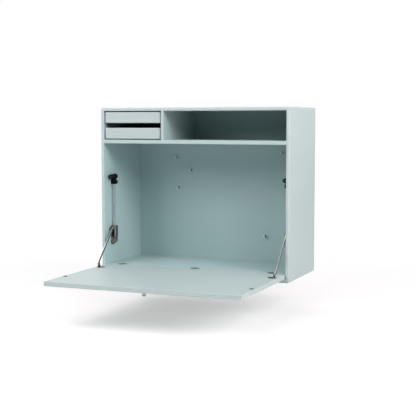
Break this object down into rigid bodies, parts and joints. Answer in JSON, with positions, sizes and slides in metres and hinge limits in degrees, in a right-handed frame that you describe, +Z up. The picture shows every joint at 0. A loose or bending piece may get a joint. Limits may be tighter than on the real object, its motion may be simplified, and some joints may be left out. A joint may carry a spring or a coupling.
{
  "type": "fold down wall desk",
  "caption": "Shallow wall-hung desk case with a drop front on side stays, an open upper bay and slim pull-out trays.",
  "frame": {"origin": "middle of the row of wall screw holes in the wall rail, on the wall plane", "axes": "+X to the right seen from the front, +Y into the wall, +Z up; the drop front faces -Y"},
  "size_m": [0.7, 0.716, 0.5886],
  "materials": {
    "lacquered_board": "pale blue-green lacquer, satin",
    "lacquered_peg": "pale blue-green lacquer, satin",
    "beech": "raw",
    "zinc_rail": "zinc plated",
    "runner_plastic": "matte",
    "black_plastic": "satin",
    "magnet_face": "polished",
    "bright_steel": "nickel plated, bright",
    "hinge_nickel": "nickel plated, satin",
    "strike_steel": "dark, satin",
    "nickel_steel": "nickel plated, satin",
    "screw_steel": "zinc plated"
  },
  "bodies": {
    "case": {"back_panel": "lacquered_board", "back_pegs": "lacquered_peg", "board_dowels": "beech", "bottom_panel": "lacquered_board", "cabinet_rail": "zinc_rail", "corner_splines": "beech", "floor_screws": "screw_steel", "hinge_base_left": "hinge_nickel", "hinge_base_middle": "hinge_nickel", "hinge_base_right": "hinge_nickel", "hinge_base_screws": "screw_steel", "inner_floor": "lacquered_board", "left_side_panel": "lacquered_board", "middle_shelf": "lacquered_board", "rail_screws": "screw_steel", "right_side_panel": "lacquered_board", "stay_foot_left": "nickel_steel", "stay_foot_right": "nickel_steel", "stay_head_left": "black_plastic", "stay_head_right": "black_plastic", "stay_magnets": "magnet_face", "stay_rod_left": "bright_steel", "stay_rod_right": "bright_steel", "stay_screws": "screw_steel", "top_panel": "lacquered_board", "tray_runners": "runner_plastic", "vertical_divider": "lacquered_board", "wall_rail": "zinc_rail"},
    "drop_front": {"arm_bracket_left": "nickel_steel", "arm_bracket_right": "nickel_steel", "bracket_pins": "screw_steel", "door_knob": "lacquered_peg", "door_panel": "lacquered_board", "hinge_leaf_left": "hinge_nickel", "hinge_leaf_middle": "hinge_nickel", "hinge_leaf_right": "hinge_nickel", "hinge_leaf_screws": "screw_steel", "hinge_pins": "screw_steel", "knob_stud": "screw_steel", "strike_plates": "strike_steel", "strike_screws": "screw_steel"},
    "slider_left": {"slider_block_left": "black_plastic", "slider_clip_left": "nickel_steel"},
    "slider_right": {"slider_block_right": "black_plastic", "slider_clip_right": "nickel_steel"},
    "arm_left": {"stay_arm_left": "bright_steel", "arm_rivet_left": "nickel_steel"},
    "arm_right": {"stay_arm_right": "bright_steel", "arm_rivet_right": "nickel_steel"},
    "tray_upper": {"tray_upper_back": "lacquered_board", "tray_upper_bottom": "lacquered_board", "tray_upper_front": "lacquered_board", "tray_upper_sides": "lacquered_board"},
    "tray_lower": {"tray_lower_back": "lacquered_board", "tray_lower_bottom": "lacquered_board", "tray_lower_front": "lacquered_board", "tray_lower_sides": "lacquered_board"}
  },
  "joints": [
    {"name": "front_hinge", "type": "hinge", "parent": "case", "child": "drop_front", "pos_m": [0, -0.2825, -0.4575], "axis": [-1, 0, 0], "range_deg": [0, 90]},
    {"name": "slider_left_run", "type": "slide", "parent": "case", "child": "slider_left", "axis": [0, 0, 1], "range_m": [0, 0.1196]},
    {"name": "slider_right_run", "type": "slide", "parent": "case", "child": "slider_right", "axis": [0, 0, 1], "range_m": [0, 0.1196]},
    {"name": "arm_left_pivot", "type": "hinge", "parent": "drop_front", "child": "arm_left", "pos_m": [-0.3265, -0.3725, -0.44], "axis": [1, 0, 0], "range_deg": [0, 133.61]},
    {"name": "arm_right_pivot", "type": "hinge", "parent": "drop_front", "child": "arm_right", "pos_m": [0.3265, -0.3725, -0.44], "axis": [1, 0, 0], "range_deg": [0, 133.61]},
    {"name": "upper_tray_slide", "type": "slide", "parent": "case", "child": "tray_upper", "axis": [0, -1, 0], "range_m": [0, 0.18]},
    {"name": "lower_tray_slide", "type": "slide", "parent": "case", "child": "tray_lower", "axis": [0, -1, 0], "range_m": [0, 0.18]}
  ],
  "couplings": [
    {"joint": "slider_left_run", "follows": "front_hinge", "m_per_rad": 0.076064},
    {"joint": "slider_right_run", "follows": "front_hinge", "m_per_rad": 0.076064},
    {"joint": "arm_left_pivot", "follows": "front_hinge", "ratio": 1.4843},
    {"joint": "arm_right_pivot", "follows": "front_hinge", "ratio": 1.4843}
  ]
}
